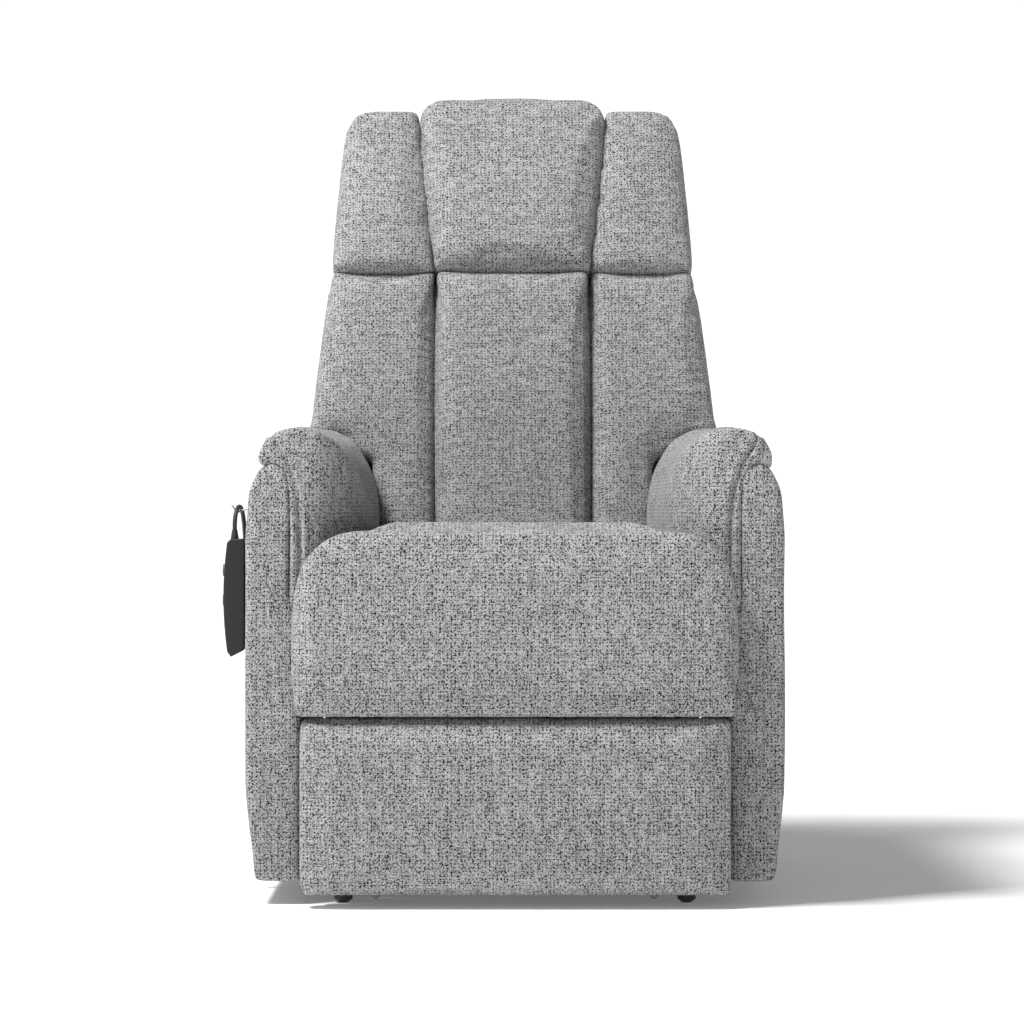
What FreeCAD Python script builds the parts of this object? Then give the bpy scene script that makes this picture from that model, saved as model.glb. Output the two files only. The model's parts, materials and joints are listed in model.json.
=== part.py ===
"""Lift recliner chair: one STEP file per named piece, in millimetres, +Z up.

The chair faces -Y, and X = 0 is its middle plane. While modelling, Y = 0 is the front of the
arms and Z = 0 the floor; the export moves everything so that the origin is the middle of the
chair's footprint on the floor.
"""
import FreeCAD, Part
import math
import os

V = FreeCAD.Vector
os.makedirs("parts", exist_ok=True)

# ---- driving dimensions -------------------------------------------------------------------
RUN = 0.05            # radial running clearance of a pin in its hole
OPEN_PIVOT = 0.7      # radial clearance of a pivot that closes a linkage loop
PIN_R = 5.0
PIN_HEAD_R = 8.0
PIN_HEAD = 1.2

# arms
ARM_OUT = 360.0       # widest half width over the arms
ARM_IN = 301.0        # inner face of the arm panel above the seat deck
ARM_LENGTH = 600.0
ARM_BOTTOM = 30.0
ARM_TOP = 636.0       # top of the arm pad
ARM_REAR_DROP = 8.0   # how much lower the pad is at its rear end
ARM_REAR_ROUND = 60.0
PANEL_TOP = 588.0     # top of the panel, under the pad
PAD_IN = 207.0        # inner face of the arm pad
PAD_FOOT = 396.0      # lower edge of the arm pad
PAD_NOSE = 150.0      # length of the rounded front of the arm pad
BOARD_THICK = 18.0
PANEL_FOOT_IN = 284.0 # inner face of the arm panel beside the footrest
SKIRT_THICK = 9.0

# seat
SEAT_HALF = 203.0     # half width between the arm pads
SEAT_ROLL_HALF = 292.0
SEAT_ROLL_FRONT = -56.0
SEAT_ROLL_BOTTOM = 253.0
SEAT_FLAP_THICK = 20.0    # the roll's lower front, with room for the footrest linkage behind it
LEG_ROOM_BANDS = ((-214.0, -181.0), (38.0, 82.0), (181.0, 214.0))   # X spans of that room
LEG_ROOM_TOP = 335.0
SEAT_TOP = 503.0
SEAT_REAR = 444.0
DECK_Z = 375.0        # top of the cross rails, which carries the cushion
RAIL_HIGH = 30.0
FRONT_RAIL_Y = (56.0, 96.0)
REAR_RAIL_Y = (480.0, 512.0)

# footrest
REST_HALF = 285.0
REST_TOP = 250.0
REST_BOTTOM = 18.0
REST_FRONT = -56.0
REST_BACK = -10.0
REST_BOARD_THICK = 14.0

# back, in its own leaning frame: W runs up along the back, T runs rearwards from its front face
LEAN = 16.0
BACK_FOOT = (480.0, 505.0)
BACK_HINGE = (540.0, 350.0)
RECLINE = 40.0
BACK_LOW_HALF = 201.0     # between the arm pads
WING_Z = 638.0            # lowest height of the wings over the arms
BACK_BOTTOM_W = -75.0
SEAM_W = 396.0            # seam between lumbar and headrest pads
BACK_TOP_W = 668.0
SIDE_DROP = 14.0          # how much lower the side headrests end
SIDE_TOP_W = BACK_TOP_W - SIDE_DROP
COLUMN_HALF = 115.5       # centre column at the seam and below
COLUMN_TOP_HALF = 141.0
HEAD_CORNER = 38.0        # rounding of the centre headrest's top corners
WING_HALF = 299.0         # half width of the wings just above the arms
SEAM_HALF = 270.0
TOP_HALF = 251.0
PAD_THICK = 85.0
PAD_GAP = 1.0
BACK_BOARD_THICK = 15.0
COVER_TOP_DEEP = 14.0     # depth of the rear cover behind the board, at its top and its foot
COVER_FOOT_DEEP = 68.0

# floor frame
RAIL_IN = 218.0
RAIL_OUT = 242.0
RAIL_Z = (12.0, 42.0)
RAIL_Y = (20.0, 560.0)
FRONT_BAR_Y = (22.0, 60.0)
REAR_BAR_Y = (482.0, 520.0)
TUBE_WALL = 2.0
GLIDE_R = 12.5

# side-by-side layers of the linkages, as distances from the middle plane
A1_LAYER = (198.0, 204.0)
REAR_LINK_LAYER = (208.0, 215.0)
PLATE_LAYER = (217.0, 222.0)
FRONT_LINK_LAYER = (224.0, 231.0)
A2_LAYER = (234.0, 240.0)
MAIN_LAYER = (200.0, 205.0)
COUPLER_LAYER = (193.0, 198.0)
INNER_LAYER = (186.0, 191.0)

# lift linkage pivots (y, z); the rear links turn by LIFT_TURN to tip the seat unit up and forward
A1 = (501.10, 81.69)
B1 = (121.20, 89.64)
A2 = (316.81, 138.21)
B2 = (60.03, 123.69)
LIFT_TURN = 34.19
LIFT_LINK_WIDE = 26.0

# footrest linkage: two parallelograms that share the main link
PB = (41.0, 298.0)
MAIN_VECTOR = (72.9, -174.1)      # main link, seat pivot to coupler pivot
LOWER_SHARE = 1.27                # lower pivot on the main link, as a share of MAIN_VECTOR
REAR_OFFSET = (36.8, -35.1)       # rear link pivot from the main link pivot
COUPLER_VECTOR = (-83.9, 81.1)    # coupler pivot to the footrest bracket pivot
LEG_TURN = 82.0
LEG_LINK_WIDE = 16.0

# actuators: lever length on the driven tube, direction of the rod, place across the chair
LIFT_LEVER = 118.0
LIFT_ANGLE = 16.15
LIFT_ROD_X = 0.0
BACK_LEVER = 87.0
BACK_ANGLE = 9.48
BACK_ROD_X = -60.0
LEG_LEVER = 66.0
LEG_ANGLE = 173.68
LEG_ROD_X = 60.0
LIFT_REACH = 427.0      # clevis to the foot of the driven pivot on the rod axis
BACK_REACH = 404.0
LEG_REACH = 432.0
ROD_R = 9.0
TUBE_R = 14.0
TORQUE_TUBE_R = 12.0
CROSS_TUBE_R = 10.0
YOKE_THICK = 8.0
CHEEK_THICK = 5.0

# handset, its hook and its cord, all on the -X side of the chair
HANDSET_X = (-390.5, -361.5)
HANDSET_Y = (25.0, 80.0)
HANDSET_Z = (329.0, 487.0)
SHELL_WALL = 2.2
BUTTON_TRAVEL = 1.0
CORD_R = 3.0
BOX_X = (-301.0, -250.0)
BOX_Y = (150.0, 300.0)
BOX_Z = (120.0, 215.0)
CORD_POINTS = [
    (-377.0, 52.0, 499.0),
    (-377.0, 52.0, 512.0),
    (-375.5, 58.0, 524.0),
    (-373.0, 70.0, 531.0),
    (-370.5, 84.0, 529.0),
    (-368.5, 95.0, 517.0),
    (-367.0, 103.0, 495.0),
    (-366.0, 116.0, 452.0),
    (-365.5, 143.0, 385.0),
    (-365.0, 172.0, 310.0),
    (-365.0, 193.0, 230.0),
    (-365.0, 202.0, 155.0),
    (-364.0, 205.0, 95.0),
    (-362.0, 205.0, 52.0),
    (-353.0, 204.0, 24.0),
    (-330.0, 203.0, 11.0),
    (-300.0, 201.0, 14.0),
    (-278.0, 197.0, 24.0),
    (-268.0, 189.0, 46.0),
    (-266.0, 183.0, 70.0),
    (-266.0, 181.0, 92.0),
    (-266.0, 181.0, 110.0),
]


# ---- helpers used by most pieces ----------------------------------------------------------
def block(x0, x1, y0, y1, z0, z1):
    return Part.makeBox(x1 - x0, y1 - y0, z1 - z0, V(x0, y0, z0))


def polygon_face(points):
    wire = Part.makePolygon(points + [points[0]])
    return Part.Face(wire)


def side_prism(points, x0, x1):
    """Outline in (y, z), pulled out along X."""
    face = polygon_face([V(x0, y, z) for y, z in points])
    return face.extrude(V(x1 - x0, 0, 0))


def front_prism(points, y0, y1):
    """Outline in (x, z), pulled out along Y."""
    face = polygon_face([V(x, y0, z) for x, z in points])
    return face.extrude(V(0, y1 - y0, 0))


def plan_prism(points, z0, z1):
    """Outline in (x, y), pulled out along Z."""
    face = polygon_face([V(x, y, z0) for x, y in points])
    return face.extrude(V(0, 0, z1 - z0))


def cylinder_x(point, radius, x0, x1):
    return Part.makeCylinder(radius, x1 - x0, V(x0, point[0], point[1]), V(1, 0, 0))


def mirrored(shape):
    return shape.mirror(V(0, 0, 0), V(1, 0, 0))


def both_sides(shapes):
    return shapes + [mirrored(shape) for shape in shapes]


def plus(point, vector, share=1.0):
    return (point[0] + vector[0] * share, point[1] + vector[1] * share)


def turned(point, pivot, degrees):
    """A (y, z) point turned about a pivot, positive from +Y towards +Z."""
    angle = math.radians(degrees)
    dy, dz = point[0] - pivot[0], point[1] - pivot[1]
    return (pivot[0] + dy * math.cos(angle) - dz * math.sin(angle),
            pivot[1] + dy * math.sin(angle) + dz * math.cos(angle))


def bar(start, end, width, layer, holes):
    """A flat bar with round ends between two (y, z) points; holes are (point, radius)."""
    dy, dz = end[0] - start[0], end[1] - start[1]
    length = math.hypot(dy, dz)
    ny, nz = -dz / length * width / 2, dy / length * width / 2
    outline = [(start[0] + ny, start[1] + nz), (end[0] + ny, end[1] + nz),
               (end[0] - ny, end[1] - nz), (start[0] - ny, start[1] - nz)]
    shape = side_prism(outline, layer[0], layer[1])
    for point in (start, end):
        shape = shape.fuse(cylinder_x(point, width / 2, layer[0], layer[1]))
    for point, radius in holes:
        shape = shape.cut(cylinder_x(point, radius, layer[0] - 1, layer[1] + 1))
    return shape.removeSplitter()


def pin(point, x0, x1, head_at_low=True, head_at_high=True):
    """A pivot pin from x0 to x1, with a thin head outside each named end."""
    shape = cylinder_x(point, PIN_R, x0, x1)
    if head_at_low:
        shape = shape.fuse(cylinder_x(point, PIN_HEAD_R, x0 - PIN_HEAD, x0))
    if head_at_high:
        shape = shape.fuse(cylinder_x(point, PIN_HEAD_R, x1, x1 + PIN_HEAD))
    return shape.removeSplitter()


PIECES = {}


def keep(name, *shapes):
    solids = []
    for shape in shapes:
        solids.extend(shape.Solids)
    PIECES[name] = solids


# ---- pivots worked out from the driving dimensions ---------------------------------------
PA = plus(PB, REAR_OFFSET)
X_PIVOT = plus(PB, MAIN_VECTOR)
E_PIVOT = plus(PB, MAIN_VECTOR, LOWER_SHARE)
AC_PIVOT = plus(X_PIVOT, REAR_OFFSET)
F1 = plus(X_PIVOT, COUPLER_VECTOR)
F2 = plus(E_PIVOT, COUPLER_VECTOR)
MOVING_HOLE = PIN_R + RUN


# ---- floor frame --------------------------------------------------------------------------
def hollow_bar(x0, x1, y0, y1, z0, z1, along_x):
    outer = block(x0, x1, y0, y1, z0, z1)
    wall = TUBE_WALL
    if along_x:
        inner = block(x0, x1, y0 + wall, y1 - wall, z0 + wall, z1 - wall)
    else:
        inner = block(x0 + wall, x1 - wall, y0, y1, z0 + wall, z1 - wall)
    return outer.cut(inner)


def floor_frame():
    rail = hollow_bar(RAIL_IN, RAIL_OUT, *RAIL_Y, *RAIL_Z, along_x=False)
    keep("base_side_rails", *both_sides([rail]))
    front_bar = hollow_bar(-RAIL_IN, RAIL_IN, *FRONT_BAR_Y, *RAIL_Z, along_x=True)
    rear_bar = hollow_bar(-RAIL_IN, RAIL_IN, *REAR_BAR_Y, *RAIL_Z, along_x=True)
    keep("base_crossbars", front_bar, rear_bar)

    glides = []
    middle = (RAIL_IN + RAIL_OUT) / 2
    for y in (RAIL_Y[0] + 15, RAIL_Y[1] - 15):
        dome_high = 5.0
        foot = Part.makeCylinder(GLIDE_R, RAIL_Z[0] - dome_high, V(middle, y, dome_high), V(0, 0, 1))
        dome = Part.makeCone(GLIDE_R - 6, GLIDE_R, dome_high, V(middle, y, 0), V(0, 0, 1))
        glides.append(foot.fuse(dome).removeSplitter())
    keep("floor_glides", *both_sides(glides))

    bolts = []
    bolt_x = 187.0
    head = Part.makeCylinder(5.0, 4.0, V(bolt_x, 41, RAIL_Z[1]), V(0, 0, 1))
    nut = Part.makeCylinder(5.5, 5.0, V(bolt_x, 41, RAIL_Z[0] - 5), V(0, 0, 1))
    tip = Part.makeCylinder(3.0, 3.0, V(bolt_x, 41, RAIL_Z[0] - 8), V(0, 0, 1))
    bolts.extend([head, nut.fuse(tip)])
    keep("base_bolts", *both_sides(bolts))


def base_brackets():
    rear = side_prism([(REAR_BAR_Y[0], RAIL_Z[1]), (REAR_BAR_Y[1], RAIL_Z[1]),
                       (A1[0] + 15, A1[1]), (A1[0] + 8, A1[1] + 14),
                       (A1[0] - 8, A1[1] + 14), (A1[0] - 15, A1[1])], *A1_LAYER)
    rear = rear.cut(cylinder_x(A1, PIN_R, A1_LAYER[0] - 1, A1_LAYER[1] + 1))
    front = side_prism([(A2[0] - 45, RAIL_Z[1]), (A2[0] + 45, RAIL_Z[1]),
                        (A2[0] + 14, A2[1]), (A2[0] + 8, A2[1] + 14),
                        (A2[0] - 8, A2[1] + 14), (A2[0] - 14, A2[1])], *A2_LAYER)
    front = front.cut(cylinder_x(A2, PIN_R, A2_LAYER[0] - 1, A2_LAYER[1] + 1))
    keep("lift_link_brackets", *both_sides([rear, front]))

    rear_pin = pin(A1, A1_LAYER[0], REAR_LINK_LAYER[1])
    front_pin = pin(A2, FRONT_LINK_LAYER[0], A2_LAYER[1], head_at_low=False)
    keep("base_pivot_pins", *both_sides([rear_pin, front_pin]))


# ---- actuators ----------------------------------------------------------------------------
def actuator_axis(pivot, lever, degrees, half_turn, side):
    """The rod's line and pin travel for a lever that swings half_turn each way of square.

    side is +1 when the lever points to the left of the rod's direction, -1 to the right.
    Returns the direction, the foot of the pivot on the rod's line, and the pin at mid travel.
    """
    angle = math.radians(degrees)
    u = (math.cos(angle), math.sin(angle))
    n = (-u[1] * side, u[0] * side)
    half = math.radians(half_turn)
    offset = lever * (1 + math.cos(half)) / 2
    foot = plus(pivot, n, offset)
    crown = plus(pivot, n, lever)
    return u, foot, crown


def slot_play(lever, half_turn):
    """How far the pin's true travel differs from an even one, along the rod."""
    half = math.radians(half_turn)
    worst = 0.0
    for step in range(41):
        share = step / 20 - 1
        worst = max(worst, abs(lever * (math.sin(half * share) - math.sin(half) * share)))
    return worst


def place_along(shape, x, point, degrees):
    """Move a shape made along +Y at the origin onto a rod's line."""
    moved = shape.copy()
    moved.rotate(V(0, 0, 0), V(1, 0, 0), degrees)
    moved.translate(V(x, point[0], point[1]))
    return moved


def actuator(prefix, pivot, lever, degrees, turn, side, x, reach, start_sign, can_side):
    """Rod with a slotted end, and the motor body that carries it.

    start_sign is -1 for a rod that pushes out from rest, +1 for one that pulls in.
    """
    half_turn = turn / 2
    u, foot, crown = actuator_axis(pivot, lever, degrees, half_turn, side)
    half_travel = lever * math.sin(math.radians(half_turn))
    pin_line = plus(foot, u, start_sign * half_travel)
    clevis = plus(foot, u, -reach)
    length = reach + start_sign * half_travel
    slot_long = lever * (1 - math.cos(math.radians(half_turn))) + 2 * (PIN_R + 1.0)
    slot_wide = 2 * (PIN_R + slot_play(lever, half_turn) + 0.4)

    yoke_half = slot_long / 2 + 9
    yoke_reach = slot_wide / 2 + 8
    neck = 16.0
    yoke = block(-YOKE_THICK / 2, YOKE_THICK / 2, -yoke_reach, yoke_reach, -yoke_half, yoke_half)
    yoke = yoke.fuse(block(-YOKE_THICK / 2, YOKE_THICK / 2, -yoke_reach - neck, 0, -ROD_R, ROD_R))
    slot = block(-YOKE_THICK, YOKE_THICK, -slot_wide / 2, slot_wide / 2, -slot_long / 2, slot_long / 2)
    yoke = yoke.cut(slot)
    travel_in = 2 * half_travel if start_sign > 0 else 0.0
    travel_out = 2 * half_travel if start_sign < 0 else 0.0
    tube_mouth = -(yoke_reach + neck + 6 + travel_in)
    rod_end = tube_mouth - travel_out - 45
    rod_start = -yoke_reach - neck
    rod = Part.makeCylinder(ROD_R, rod_start - rod_end, V(0, rod_end, 0), V(0, 1, 0))
    keep(prefix + "_push_rod", place_along(yoke.fuse(rod).removeSplitter(), x, pin_line, degrees))

    housing_y = -length + 20
    housing_long = 58.0
    tube_back = housing_y + housing_long
    tube = Part.makeCylinder(TUBE_R, tube_mouth - tube_back, V(0, tube_back, 0), V(0, 1, 0))
    tube = tube.cut(Part.makeCylinder(ROD_R + RUN, 600, V(0, -600, 0), V(0, 1, 0)))
    housing = block(-20, 20, housing_y, tube_back, -26, 26)
    housing = housing.makeFillet(5, [e for e in housing.Edges if abs(e.tangentAt(0).y) > 0.9])
    can = Part.makeCylinder(21, 92, V(20 * can_side, tube_back - 30, 0), V(can_side, 0, 0))
    lug = block(-7, 7, -length - 14, housing_y, -12, 12)
    lug = lug.cut(cylinder_x((-length, 0), CROSS_TUBE_R, -10, 10))
    body = housing.fuse([tube, can, lug]).removeSplitter()
    keep(prefix + "_motor", place_along(body, x, pin_line, degrees))
    return crown, clevis


def lever_cheeks(foot, pivot, crown, half_turn, x):
    """Two cheeks that stand on a tube at foot, in their rest position, and the pin they carry."""
    rest_pin = turned(crown, pivot, half_turn)
    cheeks = []
    gap = YOKE_THICK / 2 + 0.7
    for low in (x - gap - CHEEK_THICK, x + gap):
        cheeks.append(bar(foot, rest_pin, 22, (low, low + CHEEK_THICK), [(rest_pin, PIN_R)]))
    ends = gap + CHEEK_THICK
    return cheeks, pin(rest_pin, x - ends, x + ends)


def driven_tube(name, pivot, half_width, crown, half_turn, x):
    """A tube on a pivot axis with a lever for its actuator."""
    cheeks, lever_pin = lever_cheeks(pivot, pivot, crown, half_turn, x)
    tube = cylinder_x(pivot, TORQUE_TUBE_R, -half_width, half_width)
    tube = tube.fuse(cheeks).cut(cylinder_x(pivot, MOVING_HOLE, -half_width - 1, half_width + 1))
    keep(name, tube.removeSplitter(), lever_pin)


# ---- lift linkage -------------------------------------------------------------------------
def lift_linkage():
    rear = bar(A1, B1, LIFT_LINK_WIDE, REAR_LINK_LAYER, [(A1, MOVING_HOLE), (B1, MOVING_HOLE)])
    keep("rear_lift_links", *both_sides([rear]))
    front = bar(A2, B2, LIFT_LINK_WIDE, FRONT_LINK_LAYER,
                [(A2, MOVING_HOLE), (B2, PIN_R + OPEN_PIVOT)])
    keep("front_lift_links", *both_sides([front]))

    crown, clevis = actuator("lift", A1, LIFT_LEVER, LIFT_ANGLE, LIFT_TURN, 1, LIFT_ROD_X,
                             LIFT_REACH, -1, 1)
    tube_middle = plus(A1, (B1[0] - A1[0], B1[1] - A1[1]), 0.2)
    tube = cylinder_x(tube_middle, TORQUE_TUBE_R, -REAR_LINK_LAYER[0], REAR_LINK_LAYER[0])
    cheeks, lever_pin = lever_cheeks(tube_middle, A1, crown, LIFT_TURN / 2, LIFT_ROD_X)
    keep("lift_torque_tube", tube.fuse(cheeks).removeSplitter(), lever_pin)

    ears = []
    for low in (LIFT_ROD_X - 13, LIFT_ROD_X + 8):
        ear = side_prism([(FRONT_BAR_Y[0] + 6, RAIL_Z[1]), (FRONT_BAR_Y[1], RAIL_Z[1]),
                          (clevis[0] + 16, clevis[1]), (clevis[0] + 8, clevis[1] + 14),
                          (clevis[0] - 8, clevis[1] + 14), (clevis[0] - 14, clevis[1])], low, low + 5)
        ears.append(ear.cut(cylinder_x(clevis, CROSS_TUBE_R, low - 1, low + 6)))
    bolt = cylinder_x(clevis, CROSS_TUBE_R, LIFT_ROD_X - 16, LIFT_ROD_X + 16)
    keep("lift_motor_clevis", *ears, bolt)


# ---- seat unit ----------------------------------------------------------------------------
def seat_frame(motor_clevises):
    outline = [(26, DECK_Z - RAIL_HIGH), (520, DECK_Z - RAIL_HIGH), (524, BACK_HINGE[1] + 18),
               (556, BACK_HINGE[1] + 18), (562, BACK_HINGE[1] - 10), (505, 178), (440, 165),
               (210, 160), (B1[0] + 22, B1[1] - 6), (B1[0] + 8, B1[1] - 18), (B1[0] - 12, B1[1] - 16),
               (B2[0] - 16, B2[1] - 8), (B2[0] - 16, B2[1] + 16), (26, 290)]
    plate = side_prism(outline, *PLATE_LAYER)
    for point in (B1, B2, PA, PB, BACK_HINGE):
        plate = plate.cut(cylinder_x(point, PIN_R, PLATE_LAYER[0] - 1, PLATE_LAYER[1] + 1))
    keep("seat_side_plates", *both_sides([plate]))

    rails = []
    for y0, y1 in (FRONT_RAIL_Y, REAR_RAIL_Y):
        rails.append(block(-ARM_IN, ARM_IN, y0, y1, DECK_Z - RAIL_HIGH, DECK_Z))
    keep("seat_cross_rails", *rails)

    tubes = []
    for clevis in motor_clevises:
        tube = cylinder_x(clevis, CROSS_TUBE_R, -PLATE_LAYER[0], PLATE_LAYER[0])
        tubes.append(tube)
    keep("motor_cross_tubes", *tubes)

    pins = [pin(B1, REAR_LINK_LAYER[0], PLATE_LAYER[1], head_at_high=False),
            pin(B2, PLATE_LAYER[0], FRONT_LINK_LAYER[1], head_at_low=False),
            pin(PB, MAIN_LAYER[0] - 12, PLATE_LAYER[1], False, False),
            pin(PA, INNER_LAYER[0], PLATE_LAYER[1], True, False),
            pin(BACK_HINGE, 160, PLATE_LAYER[1], False, False)]
    keep("seat_pivot_pins", *both_sides(pins))


def sinuous_springs():
    """Zigzag wires between the cross rails."""
    wire_r = 1.8
    swing = 20.0
    z = DECK_Z - 4
    y0, y1 = FRONT_RAIL_Y[1], REAR_RAIL_Y[0]
    bends = 17
    pitch = (y1 - y0) / (bends + 1)
    springs = []
    for middle in (-150, -75, 0, 75, 150):
        points = [V(middle, y0, z), V(middle, y0 + pitch / 2, z)]
        for index in range(bends):
            side = swing if index % 2 else -swing
            points.append(V(middle + side, y0 + pitch * (index + 0.5), z))
            points.append(V(middle + side, y0 + pitch * (index + 1.5), z))
        points.append(V(middle, y1 - pitch / 2, z))
        points.append(V(middle, y1, z))
        solid = None
        for start, end in zip(points, points[1:]):
            step = end - start
            piece = Part.makeCylinder(wire_r, step.Length, start, step)
            solid = piece if solid is None else solid.fuse(piece)
            solid = solid.fuse(Part.makeSphere(wire_r, end)) if end != points[-1] else solid
        springs.append(solid)
    keep("sinuous_springs", *springs)


def seat_cushion():
    top = block(-SEAT_HALF, SEAT_HALF, SEAT_ROLL_FRONT + 6, SEAT_REAR, DECK_Z + 0.5, SEAT_TOP)
    top = top.makeFillet(28, [e for e in top.Edges if e.BoundBox.ZMin > SEAT_TOP - 1])
    roll = block(-SEAT_ROLL_HALF, SEAT_ROLL_HALF, SEAT_ROLL_FRONT, -1.5, SEAT_ROLL_BOTTOM, SEAT_TOP - 6)
    upright = [e for e in roll.Edges if abs(e.tangentAt(0).y) > 0.9]
    roll = roll.makeFillet(80, [e for e in upright if e.BoundBox.ZMin > SEAT_TOP - 10])
    flap_back = SEAT_ROLL_FRONT + SEAT_FLAP_THICK
    below = SEAT_ROLL_BOTTOM - 1
    for x0, x1 in LEG_ROOM_BANDS:
        roll = roll.cut(block(x0, x1, flap_back, 10, below, LEG_ROOM_TOP))
        roll = roll.cut(side_prism([(SEAT_ROLL_FRONT + 3, below), (flap_back + 1, below),
                                    (flap_back + 1, SEAT_ROLL_BOTTOM + 23)], x0, x1))
    keep("seat_cushion", roll.fuse(top).removeSplitter())


def arm_outline_panel():
    return [(PANEL_FOOT_IN, ARM_BOTTOM), (ARM_OUT - 13, ARM_BOTTOM), (ARM_OUT, 150), (ARM_OUT, 490),
            (ARM_OUT - 6, 552), (ARM_OUT - 20, 580), (322, PANEL_TOP), (306, 578), (ARM_IN, 560),
            (ARM_IN, 300), (PANEL_FOOT_IN, 280)]


def arm_outline_pad():
    return [(340, 580), (343, 598), (332, 620), (310, 633), (288, ARM_TOP), (262, ARM_TOP - 4),
            (240, 618), (221, 588), (PAD_IN + 2, 552), (PAD_IN, 505), (PAD_IN + 4, 450),
            (228, 410), (262, PAD_FOOT), (ARM_IN, PAD_FOOT), (ARM_IN, 560), (306, 578),
            (322, PANEL_TOP)]


def arm_side_outline(top):
    """The arm seen from the side, with a round rear top corner."""
    drop_from = 0.75 * ARM_LENGTH
    round_steps = 6
    points = [(0, ARM_BOTTOM), (ARM_LENGTH, ARM_BOTTOM)]
    rear_top = top - ARM_REAR_DROP
    for step in range(round_steps + 1):
        angle = math.radians(90 * step / round_steps)
        points.append((ARM_LENGTH - ARM_REAR_ROUND * (1 - math.cos(angle)),
                       rear_top - ARM_REAR_ROUND * (1 - math.sin(angle))))
    points.extend([(drop_from, top), (0, top)])
    return points


def arms():
    panel = front_prism(arm_outline_panel(), 0, ARM_LENGTH)
    panel = panel.common(side_prism(arm_side_outline(PANEL_TOP), 200, 400))
    pocket = block(ARM_IN - 20, ARM_IN + BOARD_THICK, 40, ARM_LENGTH - 40, 60, 560)
    panel = panel.cut(pocket.cut(block(200, ARM_IN, 0, ARM_LENGTH, 0, 700)))
    panel = panel.cut(block(200, ARM_IN, 40, ARM_LENGTH - 40, 60, 300))
    front_fill = block(PANEL_FOOT_IN, ARM_IN, 0, 36, 270, PAD_FOOT)
    panel = panel.fuse(front_fill).removeSplitter()

    pad = front_prism(arm_outline_pad(), 0, ARM_LENGTH)
    nose = [(345, 0), (280, 0)]
    nose_steps = 6
    for step in range(1, nose_steps + 1):
        angle = math.radians(90 * step / nose_steps)
        nose.append((280 - (280 - PAD_IN) * math.sin(angle), PAD_NOSE * (1 - math.cos(angle))))
    nose.extend([(PAD_IN - 5, ARM_LENGTH), (345, ARM_LENGTH)])
    pad = pad.common(plan_prism(nose, 0, 700))
    pad = pad.common(side_prism(arm_side_outline(ARM_TOP), 100, 400))

    board = block(ARM_IN, ARM_IN + BOARD_THICK, 40, ARM_LENGTH - 40, 60, 560)
    keep("arm_boards", *both_sides([board]))
    for side, name in ((1, "right"), (-1, "left")):
        keep("arm_panel_" + name, panel if side > 0 else mirrored(panel))
        keep("arm_pad_" + name, pad if side > 0 else mirrored(pad))


def rear_skirt():
    half = PANEL_FOOT_IN - 1
    start = ARM_LENGTH + 4
    keep("rear_skirt", block(-half, half, start, start + SKIRT_THICK, 60, 290))


# ---- back ---------------------------------------------------------------------------------
def lean(shape):
    """Move a shape made upright, with T along Y and W along Z, into the leaning back."""
    moved = shape.copy()
    moved.rotate(V(0, 0, 0), V(1, 0, 0), -LEAN)
    moved.translate(V(0, BACK_FOOT[0], BACK_FOOT[1]))
    return moved


def over_arms(shape, low_half):
    """Cut away what would stand in the arm pads, so that the wings ride over the arms."""
    gap = PAD_IN - low_half
    room = front_prism([(low_half, 100), (low_half, 548), (221 - gap, 584), (240 - gap, 616),
                        (256 - gap, WING_Z), (400, WING_Z), (400, 100)], 300, 900)
    return shape.cut(room).cut(mirrored(room))


def back_outline(inset):
    """Right half of the back's outline as (x, w)."""
    return [(BACK_LOW_HALF - inset, BACK_BOTTOM_W), (BACK_LOW_HALF - inset, 100), (WING_HALF - inset, 141),
            (SEAM_HALF - inset, SEAM_W), (TOP_HALF + 9 - inset, SIDE_TOP_W - 134),
            (TOP_HALF + 1 - inset, SIDE_TOP_W - 34), (TOP_HALF - 13 - inset, SIDE_TOP_W - 8 - inset),
            (TOP_HALF - 36 - inset, SIDE_TOP_W - inset)]


def back_pads():
    gap = PAD_GAP
    head_low, lumbar_top = SEAM_W + gap, SEAM_W - gap
    lumbar = [(COLUMN_HALF + gap, BACK_BOTTOM_W), (BACK_LOW_HALF, BACK_BOTTOM_W), (BACK_LOW_HALF, 100),
              (WING_HALF, 141), (SEAM_HALF, lumbar_top), (COLUMN_HALF + gap, lumbar_top)]
    head = [(COLUMN_HALF + 2 * gap, head_low)] + [(x, max(w, head_low)) for x, w in back_outline(0)[3:]]
    head.append((COLUMN_TOP_HALF + 2 * gap + 1, SIDE_TOP_W))
    side_pads = {"back_lumbar": lumbar, "back_headrest": head}
    for name, outline in side_pads.items():
        pad = over_arms(lean(front_prism(outline, 0, PAD_THICK)), BACK_LOW_HALF)
        keep(name + "_right", pad)
        keep(name + "_left", mirrored(pad))
    proud = 12.0
    centre_low = block(-COLUMN_HALF, COLUMN_HALF, -proud, PAD_THICK, BACK_BOTTOM_W, lumbar_top)
    keep("back_lumbar_centre", lean(centre_low.makeFillet(10, centre_low.Edges)))
    corner_steps = 5
    right = [(COLUMN_HALF + 1, head_low)]
    for step in range(corner_steps + 1):
        angle = math.radians(90 * step / corner_steps)
        right.append((COLUMN_TOP_HALF - HEAD_CORNER * (1 - math.cos(angle)),
                      BACK_TOP_W - HEAD_CORNER * (1 - math.sin(angle)) / 1.2))
    left = [(-x, w) for x, w in reversed(right)]
    centre_top = front_prism(right + left, -proud, PAD_THICK)
    keep("back_headrest_centre", lean(centre_top))


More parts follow.
